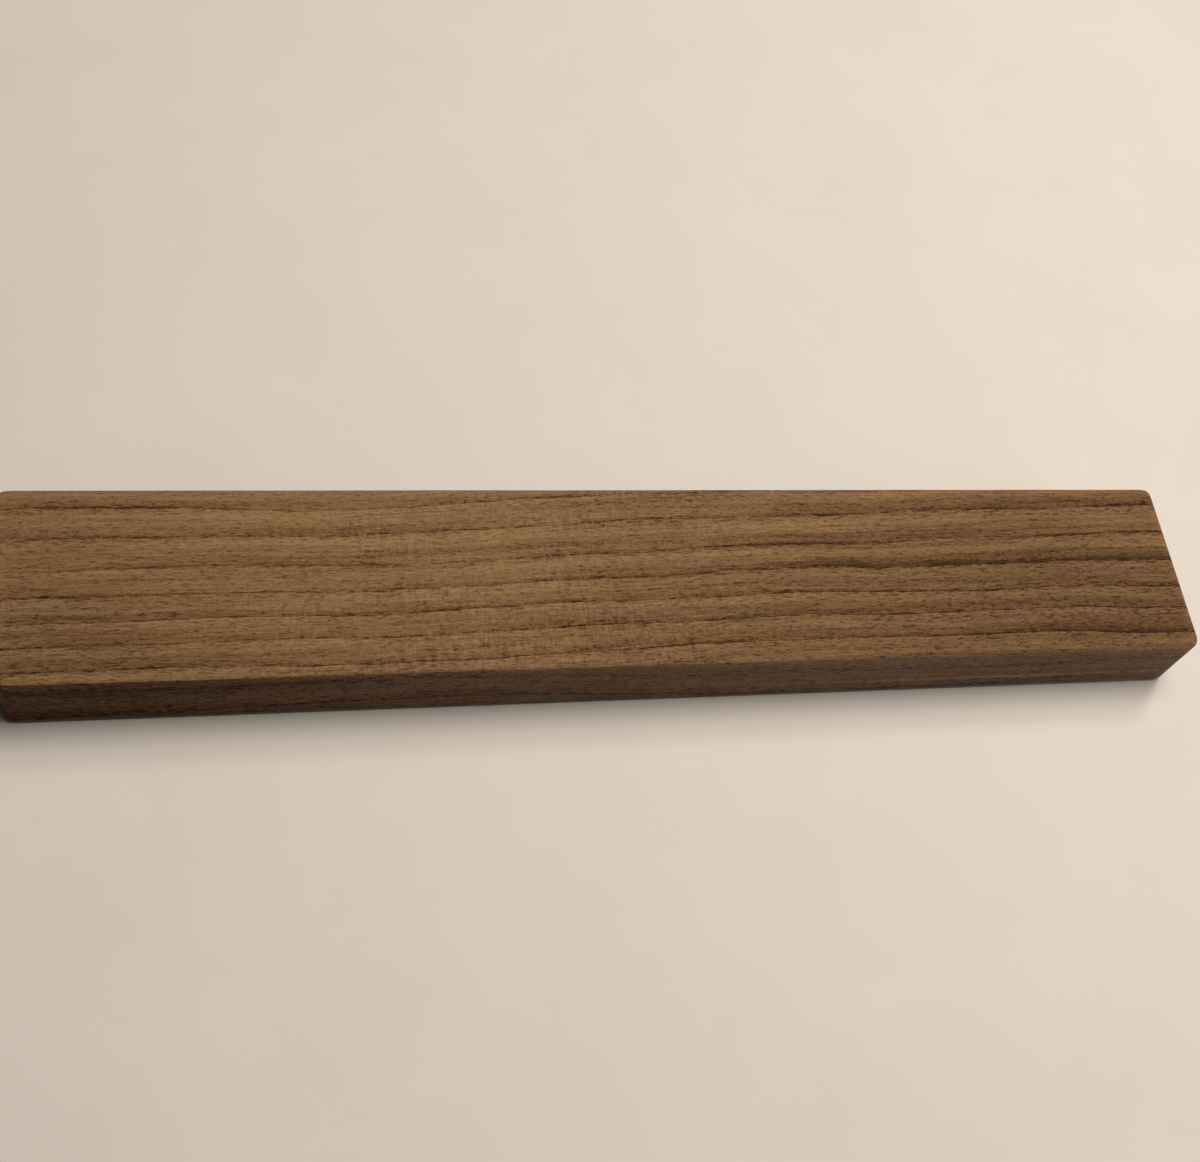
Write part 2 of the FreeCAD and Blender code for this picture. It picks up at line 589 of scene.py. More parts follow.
    def _straightened(self, graph: Graph, place: Place) -> Place:
        """Undoes the tree's bends.

        Args:
            graph: The group's graph.
            place: The point's place in the part's frame.

        Returns:
            Where the point would lie if the tree had grown straight.
        """
        x, y, z = place
        half_length, half_depth = self.bar_size[0] / 2, self.bar_size[1] / 2
        top = self.bar_middle[2] + self.bar_size[2] / 2
        behind = (y + half_depth) / (2 * half_depth)
        under = (top - z) / self.bar_size[2]
        swing = x.rising(self.swing_from, self.swing_to) * self.swing * (behind * 0.55 + 0.45)
        fan = x.rising(self.fan_from, half_length) * (y * 0.08 + 1.0)
        lean = x.rising(-half_length * 1.04, -half_length * 0.28) * self.lean * under
        slow = graph.noise_vector(place, self.slow_spacing, 1.0)
        quick = graph.noise_vector(place, self.quick_spacing, 2.0)
        straight_y = y - swing - fan + slow[1] * self.slow_wander + quick[1] * self.quick_wander
        straight_z = z - lean + slow[2] * self.slow_wander + quick[2] * self.quick_wander
        return x, straight_y, straight_z

    def _rings(self, graph: Graph, place: Place, wood: Place, radius: Signal) -> tuple[Signal, Signal]:
        """Counts the years of growth, which end unevenly from one bundle of fibres to the next.

        Args:
            graph: The group's graph.
            place: The point's place in the part's frame.
            wood: Where it would lie if the tree had grown straight.
            radius: How far it is from the pith.

        Returns:
            The ring that it is in, and how far through that year's growth it is.
        """
        years_differ = graph.noise((place[0], radius, place[2]), (400.0, 9.0, 400.0), 0.0)
        _, bundle = graph.grains(wood, (12.0, 0.7, 0.7))
        _, fibre = graph.grains(wood, (4.5, 0.45, 0.45))
        stepped = (bundle - 0.5) * 0.3 + (fibre - 0.5) * 0.25
        count = (radius + stepped) / self.ring_width + self.ring_start + years_differ * 0.35
        return count.whole(), count.rest()

    def _ground(self, at: Growth, fibres: Signal, ripple: Signal) -> Signal:
        """The wood's tone before its lines and pores are drawn, with painted shade on the long sides.

        Args:
            at: Where the point lies.
            fibres: The texture of the fibres.
            ripple: The bars across the grain.

        Returns:
            The tone, painted darker on the long sides, most towards the left, as shade.
        """
        side = at.on_sides
        broad = self._late_wood(at) * (1.0 - side * 0.8) + self._streaks(at) * (1.0 - side * 0.35)
        fine = fibres * (side * 0.35 + 1.0) + self._rays(at) + ripple * (1.0 - side * 0.5)
        # painted shade: the long sides and the low part of the rolled edge darker, most towards the left
        painted_side_shade = side * (at.place[0].falling(-200.0, 130.0) * 0.36 + 0.025)
        band = self._pale_band(at) * side
        shade = self.ground_tone + broad + fine + self._lengthwise(at) + painted_side_shade
        return shade + band * self.pale_band_tone + at.on_ends * self.end_tone

    def _colour(self, at: Growth, tone: Signal, oil: Signal) -> Signal:
        """Turns a tone into a colour.

        Args:
            at: Where the point lies.
            tone: The wood's tone there.
            oil: One where it is oiled, and zero where it is raw.

        Returns:
            The wood's colour, with a painted cool shade on the long sides.
        """
        graph = at.graph
        # painted shade: a cooler copy of the oiled colours on the long sides, for the cool light in their
        # shade
        top, side = graph.shades(tone, self.OILED), graph.shades(tone, self.OILED_PAINTED_COOL_SHADE)
        return graph.blend(oil, graph.shades(tone, self.RAW), graph.blend(at.on_sides, top, side))

    def _lengthwise(self, at: Growth) -> Signal:
        """The slow changes of tone over the top: partly the board's colour, partly painted shade.

        Args:
            at: Where the point lies.

        Returns:
            How much darker it is: towards the ends and towards the front, partly as painted shade, and in
            a thin band of painted shade by the front edge at the left.
        """
        x, y, _ = at.place
        # painted shade: darker towards the ends and the front, where the light and sheen fall off, on top of
        # the board's own slow changes
        towards_ends = x.rising(-60.0, 0.0) * 0.10 + x.rising(0.0, 200.0) * 0.13
        towards_ends += x.falling(-205.0, -120.0) * 0.09
        # painted shade: a thin darker band just behind the rolled front edge, at the left
        painted_edge_shade = x.falling(-190.0, -70.0) * y.rising(-32.4, -31.0) * y.falling(-29.0, -26.5)
        return towards_ends + y.falling(-28.0, 30.0) * 0.09 + painted_edge_shade * 0.10 - 0.052

    def _pale_band(self, at: Growth) -> Signal:
        """A thin paler layer low in the board, towards its right end."""
        x, _, z = at.place
        return x.rising(40.0, 150.0) * z.rising(7.2, 8.4) * z.falling(9.0, 10.4)

    def _late_wood(self, at: Growth) -> Signal:
        """The wood that grew late in each year, which is darker.

        Args:
            at: Where the point lies.

        Returns:
            How much darker it is, with one ring that stands out towards the right end.
        """
        graph, share = at.graph, at.share
        patchy = graph.noise(at.place, (110.0, 14.0, 14.0))
        right = at.place[0].rising(-10.0, 95.0)
        strength = 0.13 + right * 0.08 + graph.by_chance(at.ring) * 0.16 + patchy * 0.6
        gradual = (share**2.0) * strength.most(0.03)
        heart = share.rising(0.40, 0.80) * share.falling(0.92, 1.0) * at.ring.matches(self.heart_ring, 0.5)
        return gradual + heart * right * 0.21

    def _ring_line(self, at: Growth) -> Signal:
        """The thin dark line that ends a year's growth: a chain of short dashes that fades in places.

        Args:
            at: Where the point lies.

        Returns:
            The line, from 0 to 1.
        """
        _, dash = at.graph.grains(at.wood, (5.5, 0.6, 0.6))
        faded = at.graph.noise(at.wood, (30.0, 4.0, 4.0), 1.0).rising(-0.22, 0.02)
        chain = (dash.rising(0.10, 0.75) * 0.8 + 0.2) * (faded * 0.7 + 0.3)
        return at.share.rising(0.935, 0.955) * at.share.falling(0.985, 1.0) * chain

    def _lesser_lines(self, at: Growth) -> Signal:
        """Fainter lines within a year's growth, where it slowed for a while.

        Args:
            at: Where the point lies.

        Returns:
            The lines, from 0 to 1.
        """
        graph, wood = at.graph, at.wood
        wander = graph.noise(wood, (60.0, 3.0, 3.0), 1.0)
        _, fibre = graph.grains(wood, (6.0, 0.5, 0.5))
        count = at.radius / self.lesser_ring_width + wander * 1.4 + (fibre - 0.5) * 0.3
        strength = graph.by_chance(count.whole() + 40.0).rising(0.35, 1.0)
        near = graph.noise(wood, (38.0, 2.5, 2.5), 1.0).rising(-0.12, 0.08)
        _, dash = graph.grains(wood, (7.0, 0.55, 0.55))
        share = count.rest()
        return share.rising(0.30, 0.5) * share.falling(0.5, 0.7) * strength * near * dash.rising(0.2, 0.65)

    def _pores(self, at: Growth) -> tuple[Signal, Signal]:
        """Cut vessels.

        Args:
            at: Where the point lies.

        Returns:
            Fine short dashes all over, and longer dark ones that follow the ring lines.
        """
        near_line = at.share.rising(0.86, 0.97).most(at.share.falling(0.02, 0.38))
        scatter = at.graph.noise(at.wood, (3.6, 0.62, 0.62), 2.0, 0.7)
        fine = (scatter + near_line * 0.05).rising(0.06, 0.13)
        distance, own = at.graph.grains(at.wood, (9.0, 0.85, 0.85))
        reach = 0.09 + near_line * 0.14 + own * 0.12
        deep = distance.falling(reach * 0.5, reach) * (own * 0.6 + 0.4)
        return fine, deep

    def _fibres(self, at: Growth) -> Signal:
        """The fine lengthwise texture of the fibres.

        Args:
            at: Where the point lies.

        Returns:
            The texture, about zero.
        """
        coarse = at.graph.noise(at.wood, (20.0, 1.0, 1.0), 3.0, 0.65)
        fine = at.graph.noise(at.wood, (2.4, 0.6, 0.6), 3.0, 0.75)
        specks = at.graph.noise(at.wood, (0.9, 0.55, 0.55), 1.0)
        return coarse * 0.50 + fine * 0.78 + specks * 0.40

    def _streaks(self, at: Growth) -> Signal:
        """Broad bands of pigment that run with the fibres.

        Args:
            at: Where the point lies.

        Returns:
            The bands, about zero.
        """
        broad = at.graph.noise(at.wood, (150.0, 5.5, 5.5))
        narrow = at.graph.noise(at.wood, (90.0, 1.4, 1.4), 3.0, 0.6)
        return broad * 0.42 + narrow * 0.66

    def _rays(self, at: Growth) -> Signal:
        """Rays: thin sheets from the pith to the bark, seen as radial lines on the ends."""
        round_pith = at.turn_round * 100.0
        return at.graph.noise((at.wood[0], round_pith, at.radius), (1.6, 0.32, 11.0)) * 0.12

    def _ripple(self, at: Growth) -> Signal:
        """Faint bars across the grain, in the middle of the board.

        Args:
            at: Where the point lies.

        Returns:
            The bars, about zero.
        """
        graph, place = at.graph, at.place
        _, own = graph.grains(place, (0.75, 3.2, 3.2))
        bars = graph.noise(place, (0.55, 2.3, 2.3), 1.0, 0.6)
        patches = graph.noise(place, (40.0, 16.0, 16.0), 1.0).rising(-0.12, 0.16)
        along = place[0].rising(-165.0, -105.0) * place[0].falling(-20.0, 70.0)
        strokes = (own.rising(0.2, 0.8) - 0.5) * 0.75 + bars
        return strokes * (patches * 0.16 + 0.07) * (along * 0.9 + 0.1)

    def _rubbed_edge(self, at: Growth) -> Signal:
        """The rolled top edge: burnished by hands, and painted paler as a highlight.

        Args:
            at: Where the point lies.

        Returns:
            One along the edge, and zero away from it.
        """
        x, y, z = at.place
        from_end = self.bar_size[0] / 2 - abs(x)
        from_side = self.bar_size[1] / 2 - abs(y)
        from_top = self.bar_middle[2] + self.bar_size[2] / 2 - z
        return (from_end.least(from_side) + from_top).falling(1.2, 4.8)


@dataclass(frozen=True)
class HandlingMarks:
    """Faint smudges and rubbed patches that change the gloss, on the wood and on the rubber."""

    @cached_property
    def group(self) -> PatternGroup:
        """Builds the marks once.

        Returns:
            A node group that gives a mask of where they are.
        """
        made = PatternGroup("Handling marks", {"Patch Size": 30.0}, {"Mask": SocketKind.VALUE})
        graph, size = made.graph, made.given("Patch Size")
        place = graph.object_place()
        broad = graph.noise(place, (size,) * 3, 3.0, 0.55)
        fine = graph.noise(place, (size * 0.12,) * 3, 4.0, 0.6)
        made.give("Mask", (broad * 0.75 + fine * 0.35 + 0.5).rising(0.32, 0.68))
        return made


@dataclass(frozen=True)
class FineDust:
    """Dust and lint in small specks, on the rubber and the tape."""

    @cached_property
    def group(self) -> PatternGroup:
        """Builds the dust once.

        Returns:
            A node group that gives a mask of where it lies.
        """
        made = PatternGroup("Fine dust", {"Speck Size": 0.5, "Cover": 0.3}, {"Mask": SocketKind.VALUE})
        graph, size = made.graph, made.given("Speck Size")
        place = graph.object_place()
        distance, own = graph.grains(place, (size,) * 3)
        specks = distance.falling(0.08, 0.24) * own.rising(0.55, 0.9)
        veil = graph.noise(place, (size * 9.0,) * 3, 4.0, 0.6).rising(-0.2, 0.3)
        made.give("Mask", (specks * 0.7 + veil * 0.5) * made.given("Cover"))
        return made


# The finishes


@dataclass(frozen=True)
class Patterns:
    """The patterns that the finishes share."""

    grain: WalnutGrain
    marks: HandlingMarks
    dust: FineDust


def new_material(name: str) -> tuple[bpy.types.Material, Graph, bpy.types.Node]:
    """A fresh material.

    Args:
        name: The material's name.

    Returns:
        The material, its graph and its shader.
    """
    material = bpy.data.materials.new(name)
    material.use_nodes = True
    material.node_tree.nodes.clear()
    graph = Graph(material.node_tree)
    shader = graph.node("ShaderNodeBsdfPrincipled")
    output = graph.node("ShaderNodeOutputMaterial")
    material.node_tree.links.new(shader.outputs["BSDF"], output.inputs["Surface"])
    return material, graph, shader


@dataclass(frozen=True)
class WalnutFinish:
    """Sanded walnut, either rubbed with oil or left raw."""

    name: str
    oil: float
    open_pores: float
    rubbed_edge_and_highlight: float
    relief: float
    patterns: Patterns
    relief_strength: float = 0.55
    smudge_size: float = 34.0
    smudge_dullness: float = 0.07
    wax_gloss: float = 0.25

    def make(self) -> bpy.types.Material:
        """Wires the material.

        Returns:
            The material.
        """
        material, graph, shader = new_material(self.name)
        wood = self.patterns.grain.group.use(
            graph, Oil=self.oil, Open_Pores=self.open_pores, Rubbed_Edge=self.rubbed_edge_and_highlight
        )
        marks = self.patterns.marks.group.use(graph, Patch_Size=self.smudge_size)
        smudges = Signal(graph, marks.outputs["Mask"])
        rough = Signal(graph, wood.outputs["Roughness"]) + smudges * self.smudge_dullness
        graph.feed(shader.inputs["Base Color"], Signal(graph, wood.outputs["Color"]))
        graph.feed(shader.inputs["Roughness"], rough)
        graph.feed(shader.inputs["Coat Weight"], Signal(graph, wood.outputs["Wax"]) * self.wax_gloss)
        height = Signal(graph, wood.outputs["Height"])
        graph.feed(shader.inputs["Normal"], graph.bump(height, self.relief, self.relief_strength))
        shader.inputs["IOR"].default_value = 1.48
        shader.inputs["Specular IOR Level"].default_value = 0.10
        shader.inputs["Coat Roughness"].default_value = 0.55
        return material


@dataclass(frozen=True)
class RubberFinish:
    """Moulded black rubber with a fine matt texture, dulled by dust."""

    name: str
    patterns: Patterns
    new: Colour = colour(0.017, 0.017, 0.018)
    worn: Colour = colour(0.030, 0.030, 0.031)
    dust: Colour = colour(0.20, 0.19, 0.175)
    texture_size: float = 0.16
    relief: float = 0.06 * MM

    def make(self) -> bpy.types.Material:
        """Wires the material.

        Returns:
            The material.
        """
        material, graph, shader = new_material(self.name)
        dust = self.patterns.dust.group.use(graph, Speck_Size=0.45, Cover=0.55)
        marks = self.patterns.marks.group.use(graph, Patch_Size=5.0)
        texture = graph.noise(graph.object_place(), (self.texture_size,) * 3, 3.0, 0.6)
        dusty = Signal(graph, dust.outputs["Mask"])
        rubber = graph.blend(Signal(graph, marks.outputs["Mask"]), self.new, self.worn)
        graph.feed(shader.inputs["Base Color"], graph.blend(dusty, rubber, self.dust))
        graph.feed(shader.inputs["Roughness"], 0.62 + texture * 0.2 + dusty * 0.25)
        height = 0.5 + texture - dusty * 0.2
        graph.feed(shader.inputs["Normal"], graph.bump(height, self.relief, 0.5))
        shader.inputs["IOR"].default_value = 1.52
        shader.inputs["Sheen Weight"].default_value = 0.08
        return material


@dataclass(frozen=True)
class TapeFinish:
    """Double-sided tape: a pale tissue carrier soaked in clear adhesive."""

    name: str
    patterns: Patterns
    adhesive: Colour = colour(0.50, 0.47, 0.40)
    tissue: Colour = colour(0.66, 0.63, 0.56)
    dust: Colour = colour(0.34, 0.31, 0.27)
    fibre_length: float = 3.2
    fibre_width: float = 0.14
    relief: float = 0.02 * MM

    def make(self) -> bpy.types.Material:
        """Wires the material.

        Returns:
            The material.
        """
        material, graph, shader = new_material(self.name)
        dust = self.patterns.dust.group.use(graph, Speck_Size=0.35, Cover=0.35)
        place = graph.object_place()
        lengthwise = graph.noise(place, (self.fibre_length, self.fibre_width, self.fibre_width))
        crosswise = graph.noise(place, (self.fibre_width, self.fibre_length, self.fibre_width))
        tissue = (lengthwise.most(crosswise) + 0.5).rising(0.42, 0.72)
        dusty = Signal(graph, dust.outputs["Mask"])
        paper = graph.blend(tissue, self.adhesive, self.tissue)
        graph.feed(shader.inputs["Base Color"], graph.blend(dusty, paper, self.dust))
        graph.feed(shader.inputs["Roughness"], 0.36 + tissue * 0.18 + dusty * 0.3)
        graph.feed(shader.inputs["Normal"], graph.bump(tissue, self.relief, 0.4))
        return material


@dataclass(frozen=True)
class DeskFinish:
    """The plain pale desk under the rest, with the faintest mottle, that runs out into the pale surround."""

    name: str = "pale_desk"
    darker: Colour = colour(0.77, 0.718, 0.645)
    paler: Colour = colour(0.80, 0.748, 0.675)
    mottle_size: float = 60.0
    clear_from: float = 430.0
    clear_to: float = 860.0

    def make(self) -> bpy.types.Material:
        """Wires the material.

        Returns:
            The material.
        """
        material, graph, shader = new_material(self.name)
        place = graph.object_place()
        mottle = graph.noise(place, (self.mottle_size,) * 3, 4.0, 0.6).rising(-0.3, 0.3)
        graph.feed(shader.inputs["Base Color"], graph.blend(mottle, self.darker, self.paler))
        from_middle = graph.math("SQRT", place[0] * place[0] + place[1] * place[1])
        graph.feed(shader.inputs["Alpha"], from_middle.falling(self.clear_from, self.clear_to))
        shader.inputs["Roughness"].default_value = 0.62
        shader.inputs["Specular IOR Level"].default_value = 0.25
        return material


# The shapes


def quarter(steps: int, fullness: float = 2.0) -> Outline:
    """Points of a unit quarter turn, as a share across and a share up.

    Args:
        steps: How many pieces it has.
        fullness: 2 is a circle, and more is squarer, with a softer start and end.

    Returns:
        The points, from (0, 0), where it runs straight up, to (1, 1), where it is level.
    """
    points = []
    for step in range(steps + 1):
        angle = math.pi / 2 * step / steps
        across = 1 - max(math.cos(angle), 0.0) ** (2 / fullness)
        points.append((across, math.sin(angle) ** (2 / fullness)))
    return points


def turned(profile: Outline, middle: Vector, segments: int) -> bmesh.types.BMesh:
    """A closed turned shape.

    Args:
        profile: Its outline as (radius, height), from the axis underneath to the axis on top.
        middle: The foot of its axis.
        segments: How many faces go round it.

    Returns:
        The mesh.
    """
    mesh = bmesh.new()
    rings = []
    for radius, height in profile:
        if radius == 0.0:
            rings.append([mesh.verts.new(middle + Vector((0, 0, height)))])
            continue
        turns = (math.tau * step / segments for step in range(segments))
        spots = [Vector((radius * math.cos(turn), radius * math.sin(turn), height)) for turn in turns]
        rings.append([mesh.verts.new(middle + spot) for spot in spots])
    for lower, upper in zip(rings, rings[1:]):
        for step in range(segments):
            after = (step + 1) % segments
            corners = [lower[step % len(lower)], lower[after % len(lower)]]
            corners += [upper[after % len(upper)], upper[step % len(upper)]]
            mesh.faces.new(dict.fromkeys(corners))
    bmesh.ops.recalc_face_normals(mesh, faces=mesh.faces)
    return mesh


def new_piece(name: str, shape: bmesh.types.BMesh) -> bpy.types.Object:
    """Turns a finished shape into an object of the scene.

    Args:
        name: The object's name.
        shape: The shape, which is freed.

    Returns:
        The object.
    """
    mesh = bpy.data.meshes.new(name)
    shape.to_mesh(mesh)
    shape.free()
    piece = bpy.data.objects.new(name, mesh)
    bpy.context.scene.collection.objects.link(piece)
    return piece


@dataclass
class WalnutBar:
    """The bar: a board with round corners, a hand-rolled top edge and six bored recesses.

    Its corners differ a little. Their fullness is given as for a quarter turn, from the back right one by
    way of the back left. The top edge turns by edge_turn degrees in its wide round, and by the rest of the
    right angle in the small round at the arris. Sanding is about the most that is taken off.
    """

    low: Vector
    high: Vector
    feet: list[Vector]
    foot_radius: float
    recess_roof: float
    corner_radius: float = 6.0 * MM
    corner_fullness: tuple[float, float, float, float] = (3.8, 2.2, 3.8, 2.2)
    corner_steps: int = 12
    top_edge_radius: float = 4.5 * MM
    top_edge_steps: int = 10
    edge_turn: float = 33.0
    arris: float = 0.6 * MM
    arris_steps: int = 4
    base_edge_radius: float = 1.0 * MM
    base_edge_steps: int = 4
    side_rows: int = 6
    cell: float = 4.0 * MM
    weld: float = 0.001 * MM
    recess_clearance: float = 0.3 * MM
    recess_flare: float = 0.2 * MM
    recess_faces_round: int = 72
    spur_width: float = 0.3 * MM
    spur_depth: float = 0.15 * MM
    sanding: float = 0.10 * MM
    sanding_on_level: float = 0.35
    sanding_broad: float = 38 * MM
    sanding_fine: float = 15 * MM
    sanding_start: float = 0.15
    sanding_full: float = 0.40
    level_normal: float = 0.999
    sharp_angle: float = 40.0
    name: str = "oiled_walnut_bar"

    def build(self, oiled: bpy.types.Material, raw: bpy.types.Material) -> bpy.types.Object:
        """Makes the bar, dressed.

        Args:
            oiled: The finish of the outside.
            raw: The finish of the bored recesses.

        Returns:
            The bar.
        """
        bar = new_piece(self.name, self._board())
        bar.data.materials.append(oiled)
        bar.data.materials.append(raw)
        self._bore(bar, raw)
        bar.data.shade_smooth()
        bar.data.set_sharp_from_angle(angle=math.radians(self.sharp_angle))
        weighted = bar.modifiers.new("Flat faces stay flat", "WEIGHTED_NORMAL")
        weighted.keep_sharp = True
        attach(bar, ONLY_BODY)
        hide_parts("walnut_bar")
        return bar

    def _board(self) -> bmesh.types.BMesh:
        """Makes the board before its recesses are bored.

        Returns:
            The board's mesh.
        """
        shape = bmesh.new()
        rows = [[shape.verts.new(spot) for spot in self._outline(*row)] for row in self._profile()]
        for lower, upper in zip(rows, rows[1:]):
            for here in range(len(lower)):
                after = (here + 1) % len(lower)
                shape.faces.new((lower[here], lower[after], upper[after], upper[here]))
        for height in (self.low.z, self.high.z):
            self._fill(shape, height)
        bmesh.ops.remove_doubles(shape, verts=shape.verts, dist=self.weld)
        bmesh.ops.recalc_face_normals(shape, faces=shape.faces)
        self._sand(shape)
        return shape

    def _profile(self) -> Outline:
        """Lists the rows of the outside, from the underside to the top.

        Returns:
            How far in and how high each row lies.
        """
        rows = [(self.corner_radius, self.low.z)]
        base = self.base_edge_radius
        turn = quarter(self.base_edge_steps)
        rows += [(base * (1 - up), self.low.z + base * across) for across, up in turn]
        edge = self._rolled_edge()
        side, shoulder = self.low.z + base, edge[0][1]
        shares = [level / self.side_rows for level in range(1, self.side_rows)]
        rows += [(0.0, side + (shoulder - side) * share) for share in shares]
        return rows + edge + [(self.corner_radius, self.high.z)]

    def _rolled_edge(self) -> Outline:
        """Lists the rows of the top edge: a small round at the arris, then a wide one that runs out on top.

        Returns:
            How far in and how high each row lies.
        """
        wide, small = self.top_edge_radius, self.arris
        turn = math.radians(self.edge_turn)
        inset = small * (1 - math.sin(turn))
        drop = wide * (1 - math.cos(turn))
        rows = []
        for step in range(self.arris_steps):
            angle = math.pi / 2 - (math.pi / 2 - turn) * step / self.arris_steps
            height = self.high.z - drop - small * (math.cos(turn) - math.cos(angle))
            rows.append((small * (1 - math.sin(angle)), height))
        for step in range(self.top_edge_steps + 1):
            angle = turn * (1 - step / self.top_edge_steps)
            across = inset + wide * (math.sin(turn) - math.sin(angle))
            rows.append((across, self.high.z - wide * (1 - math.cos(angle))))
        return rows

    def _grid(self) -> tuple[list[float], list[float]]:
        """Spaces the lines across and along the bar evenly between its corners.

        Returns:
            The x of each line across it, and the y of each line along it.
        """
        lines = []
        for half in (self.high.x - self.corner_radius, self.high.y - self.corner_radius):
            count = round(2 * half / self.cell)
            lines.append([-half + 2 * half * step / count for step in range(count + 1)])
        return lines[0], lines[1]

    def _outline(self, inset: float, height: float) -> list[Vector]:
        """Draws the bar's outline, seen from above, with the straight sides on the grid's lines.

        Args:
            inset: How far inside the outermost outline it runs.
            height: Its height.

        Returns:
            Its points, from the right side by way of the back.
        """
        grid = self._grid()
        radius = self.corner_radius - inset
        spots = []
        for turns, fullness in enumerate(self.corner_fullness):
            ahead, beside = grid[turns % 2][-1], grid[1 - turns % 2]
            arc = quarter(self.corner_steps, fullness)[1:-1]
            side = [complex(ahead + radius, share) for share in beside]
            corner = [complex(ahead + radius * (1 - across), beside[-1] + radius * up) for across, up in arc]
            spots += [spot * 1j**turns for spot in side + corner]
        return [Vector((spot.real, spot.imag, height)) for spot in spots]

    def _fill(self, shape: bmesh.types.BMesh, height: float) -> None:
        """Lays the grid of flat faces inside the corners.

        Args:
            shape: The mesh to lay it in.
            height: The grid's height.
        """
        across, along = self._grid()
        rows = [[shape.verts.new((x, y, height)) for x in across] for y in along]
        for front, back in zip(rows, rows[1:]):
            for here in range(len(front) - 1):
                shape.faces.new((front[here], front[here + 1], back[here + 1], back[here]))

    def _sand(self, shape: bmesh.types.BMesh) -> None:
        """Takes a little off the outside unevenly, as a hand with sandpaper does, above the flat base.

        Args:
            shape: The mesh of the board.
        """
        shape.normal_update()
        moves = []
        for spot in shape.verts:
            above = (spot.co.z - self.low.z) / (self.high.z - self.low.z)
            share = (above - self.sanding_start) / (self.sanding_full - self.sanding_start)
            wander = noise.noise(spot.co / self.sanding_broad)
            wander += 0.4 * noise.noise(spot.co / self.sanding_fine)
            depth = self.sanding * (0.5 + 0.5 * wander)
            if abs(spot.normal.z) > self.level_normal:
                depth *= self.sanding_on_level
            moves.append(spot.normal * -depth * min(1.0, max(0.0, share)))
        for spot, move in zip(shape.verts, moves):
            spot.co += move

    def _bore(self, bar: bpy.types.Object, raw: bpy.types.Material) -> None:
        """Bores the recesses, as a flat-bottomed bit with a cutting rim leaves them.

        Args:
            bar: The board, whose mesh is replaced by the bored one.
            raw: The finish of the bored faces.
        """
        radius = self.foot_radius + self.recess_clearance
        mouth = self.low.z
        groove = self.recess_roof + self.spur_depth
        profile = [
            (0.0, mouth - MM),
            (radius + self.recess_flare, mouth - MM),
            (radius + self.recess_flare, mouth),
            (radius, mouth + self.recess_flare),
            (radius, groove),
            (radius - self.spur_width, self.recess_roof),
            (0.0, self.recess_roof),
        ]
        cutter = bmesh.new()
        for foot in self.feet:
            bit = turned(profile, Vector((foot.x, foot.y, 0.0)), self.recess_faces_round)
            bit_mesh = bpy.data.meshes.new("bit")
            bit.to_mesh(bit_mesh)
            bit.free()
            cutter.from_mesh(bit_mesh)
            bpy.data.meshes.remove(bit_mesh)
        tool = new_piece("recess_cutter", cutter)
        tool.data.materials.append(raw)
        bore = bar.modifiers.new("Recesses", "BOOLEAN")
        bore.object = tool
        bore.operation = "DIFFERENCE"
        bore.solver = "EXACT"
        bore.material_mode = "TRANSFER"
        done = bar.evaluated_get(bpy.context.evaluated_depsgraph_get())
        bored = bpy.data.meshes.new_from_object(done)
        bar.modifiers.remove(bore)
        bar.data = bored
        bpy.data.objects.remove(tool)


class Row(Enum):
    """The two rows of feet."""

    FRONT = "front"
    REAR = "rear"


class Column(Enum):
    """The places of the feet in a row."""

    LEFT = "left"
    MIDDLE = "middle"
    RIGHT = "right"


def all_places() -> list[str]:
    """The six places of the feet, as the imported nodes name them."""
    return [f"{row.value}_{column.value}" for row in Row for column in Column]


@dataclass
class RubberFoot:
    """One moulded rubber foot: a low disc with a soft rim, a ring groove and a dimple from its mould."""

    low: Vector
    high: Vector
    place: str
    rim_radius: float = 0.6 * MM
    top_rim_radius: float = 0.12 * MM
    tread_radius: float = 4.0 * MM
    tread_width: float = 1.2 * MM
    tread_depth: float = 0.4 * MM
    tread_soften: float = 0.15 * MM
    dimple_radius: float = 0.8 * MM
    dimple_depth: float = 0.12 * MM
    rim_steps: int = 8
    top_rim_steps: int = 4
    faces_round: int = 96
    sharp_angle: float = 50.0

    @property
    def middle(self) -> Vector:
        """The point on the desk under its middle."""
        return Vector(((self.low.x + self.high.x) / 2, (self.low.y + self.high.y) / 2, 0.0))

    @property
    def radius(self) -> float:
        """The foot's radius."""
        return (self.high.x - self.low.x) / 2

    def _profile(self) -> Outline:
        """Draws the foot's outline, from the middle of its underside to the middle of its top.

        Returns:
            The radius and the height of each point.
        """
        dimple, soft = self.dimple_radius, self.tread_soften
        rows = [(0.0, self.dimple_depth), (dimple * 0.6, self.dimple_depth * 0.75), (dimple, 0.0)]
        inner = self.tread_radius - self.tread_width / 2
        outer = self.tread_radius + self.tread_width / 2
        rows += [(inner - soft, 0.0), (inner, soft), (inner, self.tread_depth - soft)]
        rows += [(inner + soft, self.tread_depth), (outer - soft, self.tread_depth)]
        rows += [(outer, self.tread_depth - soft), (outer, soft), (outer + soft, 0.0)]
        rim = self.rim_radius
        rows += [(self.radius - rim * (1 - up), rim * across) for across, up in quarter(self.rim_steps)]
        edge = self.top_rim_radius
        top = self.high.z
        turn = quarter(self.top_rim_steps)
        rows += [(self.radius - edge * across, top - edge * (1 - up)) for across, up in turn]
        return rows + [(0.0, top)]

    def build(self, rubber: bpy.types.Material) -> bpy.types.Object:
        """Makes the foot, dressed.

        Args:
            rubber: The foot's finish.

        Returns:
            The foot.
        """
        shape = turned(self._profile(), self.middle, self.faces_round)
        foot = new_piece(f"rubber_foot_{self.place}", shape)
        foot.data.materials.append(rubber)
        foot.data.shade_smooth()
        foot.data.set_sharp_from_angle(angle=math.radians(self.sharp_angle))
        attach(foot, ONLY_BODY)
        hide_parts(f"foot_{self.place}")
        return foot


